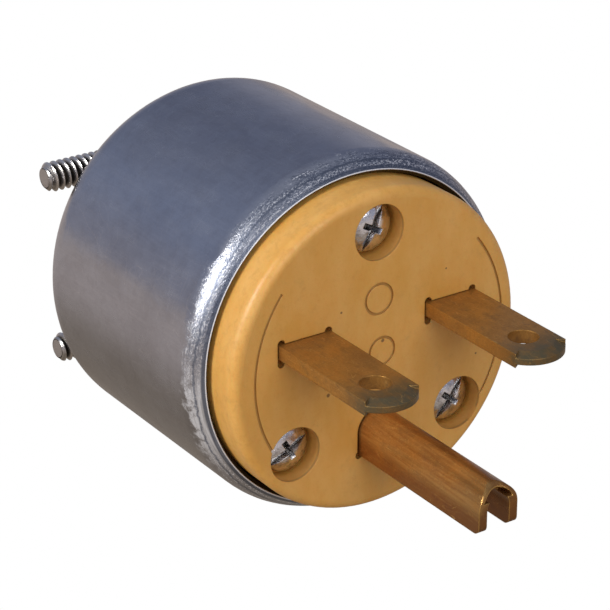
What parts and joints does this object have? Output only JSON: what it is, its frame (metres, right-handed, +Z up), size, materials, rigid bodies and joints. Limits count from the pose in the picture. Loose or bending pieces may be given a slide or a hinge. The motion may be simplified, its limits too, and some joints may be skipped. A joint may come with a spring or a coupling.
{
  "type": "round power plug",
  "caption": "Round cord plug with a steel shell, a moulded face, flat blades in one line and a folded ground pin; the cord clamp at its back is open.",
  "frame": {"origin": "centre of the mating face, in its plane", "axes": "+Y along the plug's axis from the face to the cord clamp, +X along the line of the blades, +Z up with the ground pin below the blades"},
  "size_m": [0.04, 0.0616, 0.04],
  "materials": {
    "shell_steel": "zinc plated, satin, with rubbed front shoulder",
    "face_nylon": "moulded nylon, satin",
    "block_nylon": "moulded, matt",
    "fibre": "vulcanised fibre sheet, matt",
    "blade_brass": "worn brown brass",
    "pin_brass": "worn coppery brass",
    "strap_brass": "bright sheet brass",
    "terminal_brass": "bright turned brass",
    "ground_green": "green finish on brass",
    "screw_steel": "bright plated steel",
    "jaw_steel": "zinc plated, satin",
    "clamp_screw_steel": "zinc plated, dulled"
  },
  "bodies": {
    "root": {"bond_strap": "strap_brass", "face_insert": "face_nylon", "face_screw_left": "screw_steel", "face_screw_right": "screw_steel", "face_screw_top": "screw_steel", "fibre_liner": "fibre", "fixed_clamp_jaw": "jaw_steel", "ground_pin": "pin_brass", "ground_terminal_screw": "ground_green", "ground_wire_plate": "terminal_brass", "left_blade": "blade_brass", "left_terminal_screw": "terminal_brass", "left_wire_plate": "terminal_brass", "loose_clamp_jaw": "jaw_steel", "lower_clamp_rivet": "jaw_steel", "lower_clamp_screw": "clamp_screw_steel", "right_blade": "blade_brass", "right_terminal_screw": "terminal_brass", "right_wire_plate": "terminal_brass", "steel_shell": "shell_steel", "terminal_block": "block_nylon", "upper_clamp_rivet": "jaw_steel", "upper_clamp_screw": "clamp_screw_steel"}
  },
  "joints": []
}
